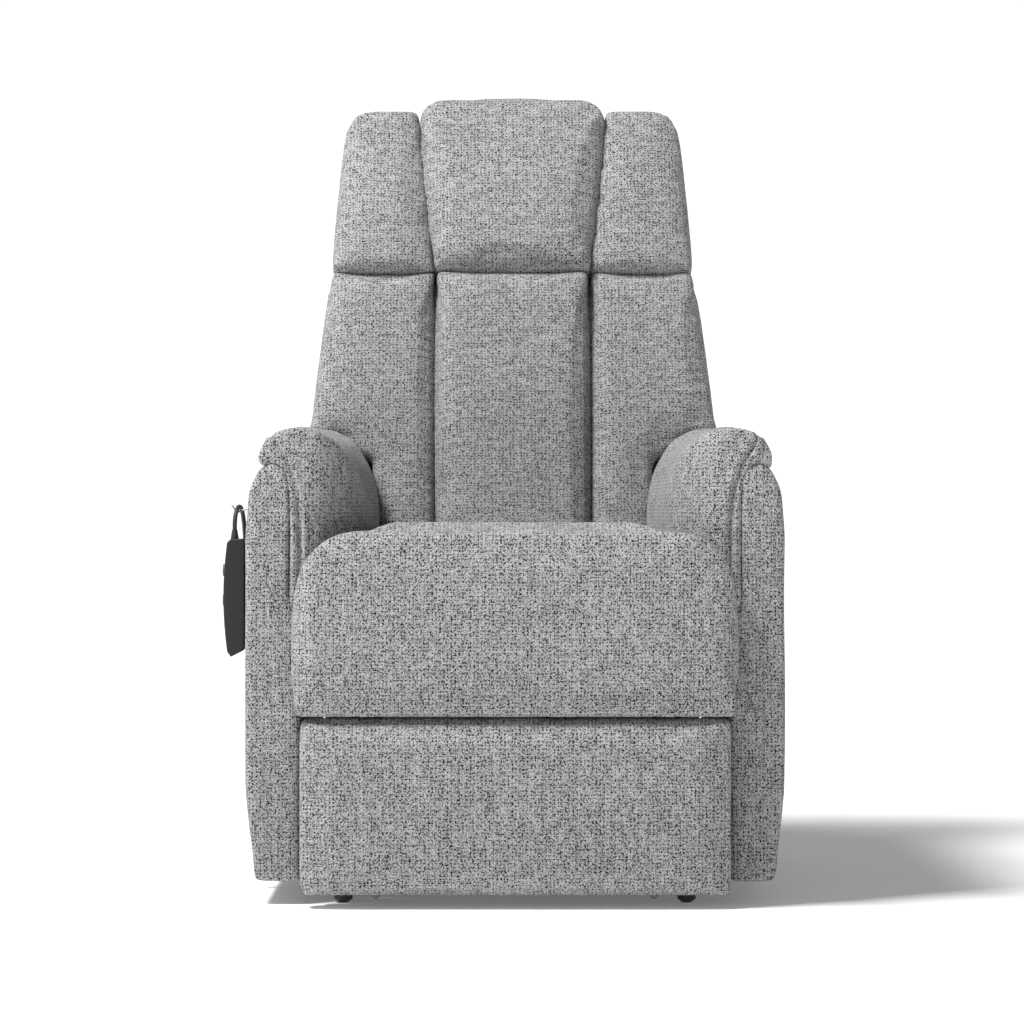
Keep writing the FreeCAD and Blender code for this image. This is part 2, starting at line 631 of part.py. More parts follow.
def back_frame():
    inset = 12.0
    join_w = 178.0
    t0, t1 = PAD_THICK, PAD_THICK + BACK_BOARD_THICK
    lower = block(inset - BACK_LOW_HALF, BACK_LOW_HALF - inset, t0, t1, BACK_BOTTOM_W + 10, join_w)
    right = [(x, w) for x, w in back_outline(inset) if w > join_w]
    right = [(WING_HALF - inset - 6, join_w)] + right
    left = [(-x, w) for x, w in reversed(right)]
    upper = front_prism(right + left, t0, t1)
    keep("back_board", lean(lower), lean(upper))

    layer = (166.0, 174.0)
    angle = math.radians(LEAN)
    along = (math.sin(angle), math.cos(angle))
    across = (math.cos(angle), -math.sin(angle))
    arm_top = plus(plus(BACK_FOOT, along, 60), across, t1 + 14)
    arm_bend = plus(plus(BACK_FOOT, along, -70), across, t1 + 14)
    upper_arm = bar(arm_bend, arm_top, 28, layer, [])
    lower_arm = bar(BACK_HINGE, arm_bend, 28, layer, [])
    arm = upper_arm.fuse(lower_arm).cut(cylinder_x(BACK_HINGE, MOVING_HOLE, layer[0] - 1, layer[1] + 1))
    arm = arm.cut(lean(block(0, 400, 0, t1, -300, 300)))
    keep("back_hinge_arms", *both_sides([arm.removeSplitter()]))


def back_cover():
    front_t = PAD_THICK + BACK_BOARD_THICK
    rear_t = front_t + COVER_FOOT_DEEP
    profile = [(front_t + 30, -60), (front_t + 30, -122), (front_t + 44, -140), (rear_t - 6, -136),
               (rear_t, -118), (rear_t, 60), (rear_t - 20, 300),
               (front_t + COVER_TOP_DEEP, SIDE_TOP_W - 34), (front_t + 4, SIDE_TOP_W - 2),
               (front_t, SIDE_TOP_W - 2), (front_t, 80),
               (front_t + 30, 70)]
    low_half = BACK_LOW_HALF - 2
    low = side_prism(profile, -low_half, low_half)
    wide = side_prism(profile, -WING_HALF, WING_HALF)
    right = back_outline(3)
    outline = front_prism(right + [(-x, w) for x, w in reversed(right)], 0, 300)
    wide = over_arms(lean(wide.common(outline)), low_half)
    keep("back_cover", lean(low).fuse(wide).removeSplitter())


# ---- footrest and its linkage -------------------------------------------------------------
def footrest():
    board = block(20 - REST_HALF, REST_HALF - 20, REST_BACK, REST_BACK + REST_BOARD_THICK,
                  REST_BOTTOM + 10, REST_TOP - 10)
    keep("footrest_board", board)
    pad = block(-REST_HALF, REST_HALF, REST_FRONT, REST_BACK, REST_BOTTOM, REST_TOP)
    keep("footrest_pad", pad.makeFillet(14, [e for e in pad.Edges if e.BoundBox.YMax < REST_FRONT + 1]))
    board_face = REST_BACK + REST_BOARD_THICK
    outline = [(board_face, F1[1] + 12), (F1[0] + 4, F1[1] + 12), (F1[0] + 12, F1[1] + 4),
               (F2[0] + 12, F2[1] + 2), (F2[0] + 9, F2[1] - 10), (F2[0] - 4, F2[1] - 13),
               (board_face, F2[1] - 22)]
    bracket = side_prism(outline, *INNER_LAYER)
    for point in (F1, F2):
        bracket = bracket.cut(cylinder_x(point, PIN_R, INNER_LAYER[0] - 1, INNER_LAYER[1] + 1))
    keep("footrest_brackets", *both_sides([bracket]))
    pins = [pin(point, INNER_LAYER[0], COUPLER_LAYER[1]) for point in (F1, F2)]
    keep("footrest_pins", *both_sides(pins))


def leg_linkage():
    wide = LEG_LINK_WIDE
    main = bar(PB, E_PIVOT, wide, MAIN_LAYER, [(PB, MOVING_HOLE), (X_PIVOT, PIN_R), (E_PIVOT, PIN_R)])
    keep("leg_main_links", *both_sides([main]))
    pins = [pin(X_PIVOT, COUPLER_LAYER[0], MAIN_LAYER[1]), pin(E_PIVOT, COUPLER_LAYER[0], MAIN_LAYER[1])]
    keep("leg_main_pins", *both_sides(pins))
    rear = bar(PA, AC_PIVOT, wide, INNER_LAYER, [(PA, MOVING_HOLE), (AC_PIVOT, PIN_R + OPEN_PIVOT)])
    keep("leg_rear_links", *both_sides([rear]))
    coupler = bar(AC_PIVOT, F1, wide, COUPLER_LAYER,
                  [(AC_PIVOT, PIN_R), (X_PIVOT, MOVING_HOLE), (F1, MOVING_HOLE)])
    keep("leg_coupler_bars", *both_sides([coupler]))
    keep("leg_coupler_pins", *both_sides([pin(AC_PIVOT, INNER_LAYER[0], COUPLER_LAYER[1])]))
    lower = bar(E_PIVOT, F2, wide, COUPLER_LAYER, [(E_PIVOT, MOVING_HOLE), (F2, PIN_R + OPEN_PIVOT)])
    keep("leg_lower_links", *both_sides([lower]))


# ---- electrics, handset and cord ----------------------------------------------------------
def control_box():
    case = block(*BOX_X, *BOX_Y, *BOX_Z)
    case = case.makeFillet(4, [e for e in case.Edges if abs(e.tangentAt(0).y) > 0.9])
    cord_end = CORD_POINTS[-1]
    gland = Part.makeCylinder(6.5, BOX_Z[0] - cord_end[2], V(*cord_end), V(0, 0, 1))
    keep("control_box", case, gland)
    middle_x = (BOX_X[0] + BOX_X[1]) / 2
    middle_z = (BOX_Z[0] + BOX_Z[1]) / 2
    inlet = block(middle_x - 12, middle_x + 12, BOX_Y[1], BOX_Y[1] + 16, middle_z - 15, middle_z + 15)
    hollow = block(middle_x - 9, middle_x + 9, BOX_Y[1] + 4, BOX_Y[1] + 17, middle_z - 12, middle_z + 12)
    keep("mains_inlet", inlet.cut(hollow))


def handset():
    x0, x1 = HANDSET_X
    y0, y1 = HANDSET_Y
    z0, z1 = HANDSET_Z
    bow = 5.0
    slant = 7.0
    bow_steps = 8
    outline = [(x0 + bow + 5, z1), (x1 - 4, z1), (x1, z1 - 5), (x1, z0 + slant + 6),
               (x1 - 5, z0 + slant), (x0 + bow + 5, z0)]
    for step in range(bow_steps + 1):
        share = 2 * step / bow_steps - 1
        outline.append((x0 + bow * share * share, z0 + 7 + (z1 - z0 - 12) * step / bow_steps))
    solid = front_prism(outline, y0, y1)
    face_edges = [e for e in solid.Edges if abs(e.tangentAt(0).y) < 0.1 and e.BoundBox.YLength < 0.1]
    solid = solid.makeFillet(2.5, face_edges)
    wall = SHELL_WALL
    core = front_prism([(x0 + bow + wall, z1 - wall - 3), (x1 - wall, z1 - wall - 3),
                        (x1 - wall, z0 + slant + wall + 4), (x0 + bow + wall, z0 + wall + 10)],
                       y0 + wall, y1 - wall)
    shell = solid.cut(core)
    split_x = x0 + 17
    front = shell.common(block(x0 - 1, split_x, y0 - 1, y1 + 1, z0 - 1, z1 + 1))
    back = shell.common(block(split_x, x1 + 1, y0 - 1, y1 + 1, z0 - 1, z1 + 1))

    names = ["rise", "lower", "recline", "upright"]
    rows = (z1 - 42, z1 - 82)
    columns = ((y0 + y1) / 2 - 13, (y0 + y1) / 2 + 13)
    index = 0
    for z in rows:
        for y in columns:
            hole = Part.makeCylinder(8.25, 12, V(x0 - 1, y, z), V(1, 0, 0))
            front = front.cut(hole)
            cap = Part.makeCylinder(8.0, 4.4, V(x0 - 1.2, y, z), V(1, 0, 0))
            flange = Part.makeCylinder(9.5, 1.2, V(x0 + bow + wall + 1.2, y, z), V(1, 0, 0))
            stem = Part.makeCylinder(8.0, 6.0, V(x0 + 3.0, y, z), V(1, 0, 0))
            keep("button_" + names[index], cap.fuse([stem, flange]).removeSplitter())
            index += 1
    keep("handset_front_shell", front)
    keep("handset_back_shell", back)
    start = CORD_POINTS[0]
    relief = Part.makeCone(5.5, 3.6, start[2] - z1, V(start[0], start[1], z1), V(0, 0, 1))
    keep("cord_strain_relief", relief)


def cord_hook():
    """A bent wire in the arm, sloping down and outwards, that the handset's cord lies over."""
    wire_r = 1.2
    y = CORD_POINTS[3][1] + 3
    low_z = CORD_POINTS[3][2] - CORD_R - wire_r - 4.5
    inner = V(-350.0, y, low_z + 9)
    heel = V(-376.0, y, low_z)
    tip = V(-382.0, y, low_z + 9)
    slope = heel - inner
    shank = Part.makeCylinder(wire_r, slope.Length, inner, slope)
    end = Part.makeCylinder(wire_r, (tip - heel).Length, heel, tip - heel)
    wire = shank.fuse([Part.makeSphere(wire_r, heel), end, Part.makeSphere(wire_r, tip)])
    keep("cord_hook", wire.cut(PIECES["arm_panel_left"][0]))


def route_length_and_tube(points, radius):
    """Straight runs joined by tangent arcs, swept with a round section."""
    points = [V(*point) for point in points]
    edges = []
    last = points[0]
    total = 0.0
    for before, corner, after in zip(points, points[1:], points[2:]):
        back = (before - corner)
        ahead = (after - corner)
        short = min(back.Length, ahead.Length)
        back_unit = back / back.Length
        ahead_unit = ahead / ahead.Length
        turn = math.pi - back_unit.getAngle(ahead_unit)
        cut = 0.45 * short
        arc_radius = cut / math.tan(turn / 2)
        start = corner + back_unit * cut
        end = corner + ahead_unit * cut
        bisector = back_unit + ahead_unit
        bisector.normalize()
        reach = arc_radius / math.cos(turn / 2) - arc_radius
        middle = corner + bisector * reach
        edges.append(Part.LineSegment(last, start).toShape())
        edges.append(Part.Arc(start, middle, end).toShape())
        print("cord corner turn %.0f deg, radius %.1f" % (math.degrees(turn), arc_radius))
        total += (start - last).Length + arc_radius * turn
        last = end
    edges.append(Part.LineSegment(last, points[-1]).toShape())
    total += (points[-1] - last).Length
    path = Part.Wire(edges)
    ring = Part.Wire(Part.makeCircle(radius, points[0], points[1] - points[0]))
    tube = path.makePipeShell([ring], True, False)
    solid = tube if tube.ShapeType == "Solid" else tube.Solids[0]
    print("cord length %.1f, volume %.1f of %.1f" % (total, solid.Volume, math.pi * radius ** 2 * total))
    return solid


# ---- build --------------------------------------------------------------------------------
floor_frame()
base_brackets()
lift_linkage()
back_crown, back_clevis = actuator("back", BACK_HINGE, BACK_LEVER, BACK_ANGLE, RECLINE, -1, BACK_ROD_X,
                                   BACK_REACH, 1, -1)
leg_crown, leg_clevis = actuator("leg", PB, LEG_LEVER, LEG_ANGLE, LEG_TURN, 1, LEG_ROD_X,
                                 LEG_REACH, -1, 1)
seat_frame([back_clevis, leg_clevis])
sinuous_springs()
seat_cushion()
arms()
rear_skirt()
back_pads()
back_frame()
driven_tube("back_torque_tube", BACK_HINGE, 166, back_crown, RECLINE / 2, BACK_ROD_X)
back_cover()
footrest()
leg_linkage()
driven_tube("leg_torque_tube", PB, MAIN_LAYER[0], leg_crown, LEG_TURN / 2, LEG_ROD_X)
control_box()
handset()
cord_hook()
keep("handset_cord", route_length_and_tube(CORD_POINTS, CORD_R))

# ---- export: the origin goes to the middle of the footprint -------------------------------
whole = FreeCAD.BoundBox()
for name, solids in PIECES.items():
    if name != "handset_cord":
        for solid in solids:
            whole.add(solid.BoundBox)
shift = V(-(whole.XMin + whole.XMax) / 2, -(whole.YMin + whole.YMax) / 2, 0)
print("shift", shift, "box", whole)
for name, solids in PIECES.items():
    shape = Part.Compound(solids) if len(solids) > 1 else solids[0]
    shape.translate(shift)
    shape.exportStep("parts/" + name + ".step")
print(len(PIECES), "nodes")
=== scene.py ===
import json
import math

import bmesh
import bpy
import numpy as np
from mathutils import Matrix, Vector


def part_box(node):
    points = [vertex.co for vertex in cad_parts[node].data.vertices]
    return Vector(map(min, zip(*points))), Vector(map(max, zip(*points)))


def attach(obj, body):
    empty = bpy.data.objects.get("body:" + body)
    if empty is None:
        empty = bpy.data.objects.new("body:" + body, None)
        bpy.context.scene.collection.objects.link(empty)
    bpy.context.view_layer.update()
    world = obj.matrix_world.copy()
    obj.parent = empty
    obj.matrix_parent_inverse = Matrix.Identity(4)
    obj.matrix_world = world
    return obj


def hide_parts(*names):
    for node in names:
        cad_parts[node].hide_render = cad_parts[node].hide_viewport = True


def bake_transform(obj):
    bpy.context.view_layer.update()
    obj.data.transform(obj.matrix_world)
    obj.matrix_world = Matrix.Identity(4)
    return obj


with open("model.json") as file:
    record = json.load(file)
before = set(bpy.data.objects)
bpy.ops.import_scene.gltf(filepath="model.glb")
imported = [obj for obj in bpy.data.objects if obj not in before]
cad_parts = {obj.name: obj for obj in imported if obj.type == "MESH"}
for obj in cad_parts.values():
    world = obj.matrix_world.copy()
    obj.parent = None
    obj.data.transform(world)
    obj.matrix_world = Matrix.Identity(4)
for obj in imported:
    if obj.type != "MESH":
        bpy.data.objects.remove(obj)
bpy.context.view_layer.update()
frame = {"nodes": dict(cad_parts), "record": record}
NODES = frame["nodes"]

# ---- where the chair's own middle planes are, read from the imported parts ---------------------
plates_low, plates_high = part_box("seat_side_plates")
MID_X = (plates_low.x + plates_high.x) / 2
ARM_FRONT_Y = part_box("arm_panel_right")[0].y

# ---- camera, floor and light -----------------------------------------------------------------
# A long lens 4.5 m in front of the arms, level with the seat, on a plain pale floor.
scene = bpy.context.scene
camera_data = bpy.data.cameras.new("camera")
camera_data.lens = 118.9
camera_data.sensor_width = 36.0
camera_data.shift_x = 0.019
camera_data.clip_end = 60.0
camera = bpy.data.objects.new("camera", camera_data)
scene.collection.objects.link(camera)
camera.location = (MID_X - 0.030, ARM_FRONT_Y - 4.5, 0.523)
camera.rotation_euler = (math.radians(90), 0, 0)
scene.camera = camera
scene.render.resolution_x = 1024
scene.render.resolution_y = 1024
scene.view_settings.view_transform = "Standard"
scene.view_settings.look = "None"


def linear(hex_colour):
    """An sRGB hex colour as the linear RGBA that shaders take."""
    channels = [int(hex_colour[i:i + 2], 16) / 255 for i in (1, 3, 5)]
    bent = [c / 12.92 if c <= 0.04045 else ((c + 0.055) / 1.055) ** 2.4 for c in channels]
    return (*bent, 1.0)


def new_material(name):
    material = bpy.data.materials.new(name)
    material.use_nodes = True
    return material, material.node_tree, material.node_tree.nodes["Principled BSDF"]


def add(tree, kind, values=None, **settings):
    """A shader node with its settings, and its inputs set or linked by name."""
    node = tree.nodes.new("ShaderNode" + kind)
    for key, value in settings.items():
        setattr(node, key, value)
    for key, value in (values or {}).items():
        if isinstance(value, bpy.types.NodeSocket):
            tree.links.new(value, node.inputs[key])
        else:
            node.inputs[key].default_value = value
    return node


# ---- floor and studio ------------------------------------------------------------------------
# Seamless white paper under and behind the chair, one square key lamp high on the left and an
# even, dim white fill all round. The paper glows more away from the chair, so it ends in white.
floor_mesh = bpy.data.meshes.new("floor")
floor_form = bmesh.new()
bmesh.ops.create_grid(floor_form, x_segments=1, y_segments=1, size=40)
floor_form.to_mesh(floor_mesh)
floor = bpy.data.objects.new("floor", floor_mesh)
scene.collection.objects.link(floor)
paper, paper_tree, paper_shader = new_material("seamless_white_paper")
paper_shader.inputs["Base Color"].default_value = linear("#fafafa")
paper_shader.inputs["Roughness"].default_value = 0.95
paper_shader.inputs["Specular IOR Level"].default_value = 0.0
paper_shader.inputs["Emission Color"].default_value = (1, 1, 1, 1)
from_chair = add(paper_tree, "VectorMath", {0: add(paper_tree, "TexCoord").outputs["Object"]},
                 operation="LENGTH")
glow = add(paper_tree, "MapRange", {"Value": from_chair.outputs["Value"], "From Min": 0.8,
                                    "From Max": 2.2, "To Min": 0.14, "To Max": 1.0})
paper_tree.links.new(glow.outputs["Result"], paper_shader.inputs["Emission Strength"])
floor_mesh.materials.append(paper)

world = bpy.data.worlds.new("studio")
world.use_nodes = True
studio = world.node_tree
fill_light = studio.nodes["Background"]
fill_light.inputs["Color"].default_value = (1, 1, 1, 1)
fill_light.inputs["Strength"].default_value = 0.20
backdrop = add(studio, "Background", {"Color": (1, 1, 1, 1), "Strength": 1.1})
seen = add(studio, "LightPath")
either = add(studio, "MixShader", {0: seen.outputs["Is Camera Ray"], 1: fill_light.outputs[0],
                                   2: backdrop.outputs[0]})
studio.links.new(either.outputs[0], studio.nodes["World Output"].inputs["Surface"])
scene.world = world


def lamp(name, energy, size, place, target):
    data = bpy.data.lights.new(name, "AREA")
    data.energy = energy
    data.size = size
    light = bpy.data.objects.new(name, data)
    light.location = place
    light.rotation_euler = (Vector(target) - Vector(place)).to_track_quat("-Z", "Y").to_euler()
    scene.collection.objects.link(light)


lamp("key", 285, 1.2, (MID_X - 2.0, ARM_FRONT_Y - 0.9, 4.3), (MID_X, 0, 0.5))

# ---- seat cushion ----------------------------------------------------------------------------
# One boxy cushion whose front falls in a deep waterfall roll, in a chunky grey melange weave.
# Foam and wadding push the cover out; it is pulled in along the bottom of the roll.


def woven(name, loop, row, jitter, lean, light, dark, depth, streaks):
    """Melange knit on each of the three planes, blended by the way the cloth faces.

    Light loops, each with a painted highlight on its crest and painted shade at its rim, small dark
    gaps between them painted as shade, each of its own strength, and slubs along the yarn.
    """
    material, tree, shader = new_material(name)
    coordinates = add(tree, "TexCoord")
    upright = add(tree, "Mapping", {"Vector": coordinates.outputs["Object"],
                                    "Rotation": (lean, 0, 0)}).outputs["Vector"]
    facing = add(tree, "Mapping", {"Vector": coordinates.outputs["Normal"], "Rotation": (lean, 0, 0)},
                 vector_type="NORMAL").outputs["Vector"]
    split = add(tree, "SeparateXYZ", {"Vector": upright})
    sides = add(tree, "SeparateXYZ", {"Vector": facing})
    total, knit = None, None
    for across, along, away in (("X", "Z", "Y"), ("Y", "Z", "X"), ("X", "Y", "Z")):
        square = add(tree, "Math", {0: sides.outputs[away], 1: 2.0}, operation="POWER")
        share = add(tree, "Math", {0: square.outputs["Value"], 1: 3.0}, operation="POWER")
        total = share.outputs["Value"] if total is None else add(
            tree, "Math", {0: total, 1: share.outputs["Value"]}, operation="ADD").outputs["Value"]
        plane = add(tree, "CombineXYZ", {"X": split.outputs[across], "Y": split.outputs[along]})
        even = add(tree, "Mapping", {"Vector": plane.outputs["Vector"], "Scale": (row, 1.0, 1.0)})
        gaps = add(tree, "TexVoronoi", {"Vector": even.outputs["Vector"], "Scale": 1.0 / loop,
                                        "Randomness": jitter}, voronoi_dimensions="2D", feature="F1")
        loops = add(tree, "TexVoronoi", {"Vector": even.outputs["Vector"], "Scale": 2.0 / loop,
                                         "Randomness": 0.8}, voronoi_dimensions="2D", feature="F1")
        strength = add(tree, "SeparateColor", {"Color": gaps.outputs["Color"]})
        # painted shade in the gaps between loops, each gap of its own strength
        hole = add(tree, "MapRange", {"Value": gaps.outputs["Distance"], "From Min": 0.08,
                                      "From Max": 0.38, "To Min": 1.0, "To Max": 0.0},
                   interpolation_type="SMOOTHSTEP")
        deep = add(tree, "MapRange", {"Value": strength.outputs["Red"], "From Min": 0.1,
                                      "From Max": 0.9, "To Min": 0.26, "To Max": 0.56})
        yarn = add(tree, "MapRange", {"Value": strength.outputs["Green"], "From Min": 0.0,
                                      "From Max": 1.0, "To Min": 0.47, "To Max": 0.74})
        # painted highlight on the crest of each loop, painted shade round its rim
        loop_highlight_and_shade = add(tree, "MapRange", {"Value": loops.outputs["Distance"], "From Min": 0.10,
                                       "From Max": 0.70, "To Min": 0.30, "To Max": -0.40})
        dot = add(tree, "Math", {0: hole.outputs["Result"], 1: deep.outputs["Result"]},
                  operation="MULTIPLY")
        tone = add(tree, "Math", {0: yarn.outputs["Result"], 1: loop_highlight_and_shade.outputs["Result"]},
                   operation="ADD")
        tone = add(tree, "Math", {0: tone.outputs["Value"], 1: dot.outputs["Value"]},
                   operation="SUBTRACT")
        part = add(tree, "Math", {0: tone.outputs["Value"], 1: share.outputs["Value"]},
                   operation="MULTIPLY")
        knit = part.outputs["Value"] if knit is None else add(
            tree, "Math", {0: knit, 1: part.outputs["Value"]}, operation="ADD").outputs["Value"]
    cloth = add(tree, "Math", {0: knit, 1: total}, operation="DIVIDE")
    slub = add(tree, "Mapping", {"Vector": upright, "Scale": streaks}).outputs["Vector"]
    slubs = add(tree, "TexNoise", {"Vector": slub, "Scale": 70.0, "Detail": 2.0})
    cloud = add(tree, "TexNoise", {"Vector": upright, "Scale": 11.0, "Detail": 3.0})
    fibre = add(tree, "TexNoise", {"Vector": upright, "Scale": 1100.0, "Detail": 2.0})
    tone = cloth
    for source, swing in ((slubs, 0.08), (cloud, 0.025), (fibre, 0.08)):
        part = add(tree, "MapRange", {"Value": source.outputs["Fac"], "From Min": 0.3, "From Max": 0.7,
                                      "To Min": -swing, "To Max": swing})
        tone = add(tree, "Math", {0: tone.outputs["Value"], 1: part.outputs["Result"]},
                   operation="ADD")
    tone.use_clamp = True
    colour = add(tree, "Mix", {0: tone.outputs["Value"], 6: linear(dark), 7: linear(light)},
                 data_type="RGBA")
    tree.links.new(colour.outputs[2], shader.inputs["Base Color"])
    bump = add(tree, "Bump", {"Height": cloth.outputs["Value"], "Strength": 0.7, "Distance": depth})
    tree.links.new(bump.outputs["Normal"], shader.inputs["Normal"])
    shader.inputs["Roughness"].default_value = 0.93
    shader.inputs["Specular IOR Level"].default_value = 0.12
    shader.inputs["Sheen Weight"].default_value = 0.12
    shader.inputs["Sheen Roughness"].default_value = 0.5
    return material


# plied yarn in loops drawn 5 mm apart, with shade painted into the dark gaps between them and a
# painted highlight on each loop, which make the cloth a speckled grey
chunky = woven("grey_melange_chunky_weave", 0.0050, 1.0, 0.50, 0.0, "#cccccc", "#151516",
               0.0010, (2.2, 1.0, 0.35))


def settled(piece):
    """Put the result of a piece's modifiers in its mesh."""
    depsgraph = bpy.context.evaluated_depsgraph_get()
    done = bpy.data.meshes.new_from_object(piece.evaluated_get(depsgraph), depsgraph=depsgraph)
    old = piece.data
    piece.modifiers.clear()
    piece.data = done
    bpy.data.meshes.remove(old)


def points(piece):
    """The piece's vertices and vertex normals as arrays."""
    count = len(piece.data.vertices)
    place = np.empty(count * 3)
    normal = np.empty(count * 3)
    piece.data.vertices.foreach_get("co", place)
    piece.data.vertices.foreach_get("normal", normal)
    return place.reshape(-1, 3), normal.reshape(-1, 3)


def put_points(piece, place):
    piece.data.vertices.foreach_set("co", place.ravel())
    piece.data.update()


def padding(name, node, voxel, rounds, short=(0.0, 0.0, 0.0)):
    """An evenly meshed, rounded copy of a plain solid, which fills the solid's box less short."""
    mesh = NODES[node].data.copy()
    mesh.name = name
    mesh.materials.clear()
    piece = bpy.data.objects.new(name, mesh)
    scene.collection.objects.link(piece)
    mesh.transform(NODES[node].matrix_world)
    even = piece.modifiers.new("even", "REMESH")
    even.mode = "VOXEL"
    even.voxel_size = voxel
    soft = piece.modifiers.new("round", "SMOOTH")
    soft.factor = 0.5
    soft.iterations = rounds
    settled(piece)
    place, normal = points(piece)
    low, high = (np.array(corner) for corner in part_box(node))
    low, high = low + short, high - short
    least, most = place.min(0), place.max(0)
    put_points(piece, low + (place - least) * (high - low) / (most - least))
    return piece


def hump(value, low, high):
    """1 in the middle of low..high, falling to 0 at both ends."""
    share = (value - low) / (high - low)
    return np.clip(4 * share * (1 - share), 0, 1)


def ripple(place, scale):
    """Slow waves of cloth over foam, between -1 and 1."""
    x, y, z = (place * scale).T
    return (np.sin(x + 1.7 * np.sin(z * 0.8)) * np.cos(z * 1.3 + 0.6 * np.sin(y * 1.1))
            + 0.5 * np.sin(2.3 * x + 1.9 * y) * np.cos(2.7 * z)) / 1.5


CLOTH_STEPS = 14      # frames of cloth simulation


def puff(piece, free, cap):
    """Cloth pressure on the vertices where free is true; no point moves further than cap."""
    before, normal = points(piece)
    group = piece.vertex_groups.new(name="held")
    group.add([int(i) for i in np.flatnonzero(~free)], 1.0, "REPLACE")
    cloth = piece.modifiers.new("cloth", "CLOTH")
    cloth.settings.use_pressure = True
    cloth.settings.uniform_pressure_force = 4.0
    cloth.settings.tension_stiffness = 25
    cloth.settings.compression_stiffness = 25
    cloth.settings.shear_stiffness = 12
    cloth.settings.bending_stiffness = 2.0
    cloth.settings.quality = 4
    cloth.settings.effector_weights.gravity = 0
    cloth.settings.vertex_group_mass = "held"
    cloth.point_cache.frame_start = 1
    cloth.point_cache.frame_end = CLOTH_STEPS
    for number in range(1, CLOTH_STEPS + 1):
        scene.frame_set(number)
    settled(piece)
    scene.frame_set(1)
    after, normal = points(piece)
    step = after - before
    length = np.linalg.norm(step, axis=1)
    step *= (np.minimum(length, cap) / np.maximum(length, 1e-9))[:, None]
    put_points(piece, before + step)


def upholstered(piece, node, body, material, seams=None):
    """One subdivision, then the seams pressed in by seams(place, normal), then smooth shading, the
    cloth, the body it moves with and the plain solid hidden.
    """
    fine = piece.modifiers.new("fine", "SUBSURF")
    fine.levels = 1
    fine.render_levels = 1
    settled(piece)
    if seams:
        place, normal = points(piece)
        put_points(piece, place + normal * seams(place, normal)[:, None])
    piece.data.polygons.foreach_set("use_smooth", [True] * len(piece.data.polygons))
    piece.data.materials.clear()
    piece.data.materials.append(material)
    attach(piece, body)
    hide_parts(node)


seat_low, seat_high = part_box("seat_cushion")
seat = padding("seat_cushion_cover", "seat_cushion", 0.006, 9, (0.001, 0.003, -0.0005))
place, normal = points(seat)
x, y, z = place.T
side = hump(x, seat_low.x, seat_high.x)
rise = (z - seat_low.z) / (seat_high.z - seat_low.z)
front = np.clip(1 - (y - seat_low.y) / 0.06, 0, 1)
on_top = np.clip((z - seat_high.z + 0.03) / 0.03, 0, 1)
swell = 0.002 * side ** 0.5 * on_top + 0.008 * side ** 0.3 * hump(rise, -0.12, 1.1) * front
place = place + normal * (swell + 0.0006 * ripple(place, 16))[:, None]
STRIP = 0.012         # width across which the lip of the roll is levelled
strips = ((place[:, 0] - seat_low.x) / STRIP).astype(int)
lip = (place[:, 1] < seat_low.y + 0.03) & (place[:, 2] < seat_low.z + 0.06)
for strip in np.unique(strips[lip]):
    here = lip & (strips == strip)
    least = place[here, 2].min()
    share = np.clip(1 - (place[here, 2] - least) / 0.045, 0, 1)
    place[here, 2] += (seat_low.z - 0.0005 - least) * share
put_points(seat, place)
puff(seat, (y < seat_low.y + 0.16) & (z > seat_low.z + 0.03), cap=0.004)
upholstered(seat, "seat_cushion", "seat", chunky)

# ---- footrest pad ----------------------------------------------------------------------------
# A flat padded board that closes the front; its cover is drawn tight over the front and its
# corners, and wrinkles slightly.
rest_low, rest_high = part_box("footrest_pad")
rest = padding("footrest_cover", "footrest_pad", 0.006, 7, (0.001, 0.001, -0.0008))
place, normal = points(rest)
x, y, z = place.T
front = np.clip(1 - (y - rest_low.y) / 0.03, 0, 1)
swell = 0.007 * (hump(x, rest_low.x, rest_high.x) ** 0.35
                 * hump(z, rest_low.z, rest_high.z) ** 0.45) * front
put_points(rest, place + normal * (swell + 0.0007 * ripple(place, 22) * front)[:, None])
puff(rest, y < rest_high.y - 0.030, cap=0.005)
upholstered(rest, "footrest_pad", "footrest", chunky)

# ---- arms ------------------------------------------------------------------------------------
# A padded outer panel with rounded edges, and a thick roll over its top and inner side. A facing
# band as wide as a thumb is sewn round the front of the roll.
FACING = [(0.330, 0.637), (0.318, 0.612), (0.304, 0.590), (0.2945, 0.565), (0.2885, 0.535),
          (0.2865, 0.500), (0.2860, 0.380)]


def facing_seam(place, normal):
    """Depth of the sewn line round the front of an arm roll."""
    across, up = np.abs(place[:, 0] - MID_X), place[:, 2]
    nearest = np.full(len(place), 1.0)
    for (x0, z0), (x1, z1) in zip(FACING, FACING[1:]):
        length = math.hypot(x1 - x0, z1 - z0)
        share = np.clip(((across - x0) * (x1 - x0) + (up - z0) * (z1 - z0)) / length ** 2, 0, 1)
        gap = np.hypot(across - x0 - share * (x1 - x0), up - z0 - share * (z1 - z0))
        nearest = np.minimum(nearest, gap)
    ahead = np.clip(-normal[:, 1] * 3, 0, 1) * (place[:, 1] < ARM_FRONT_Y + 0.05)
    welt = 0.0018 * np.exp(-((nearest - 0.007) / 0.004) ** 2)
    return ahead * (welt - 0.0050 * np.exp(-(nearest / 0.0028) ** 2))


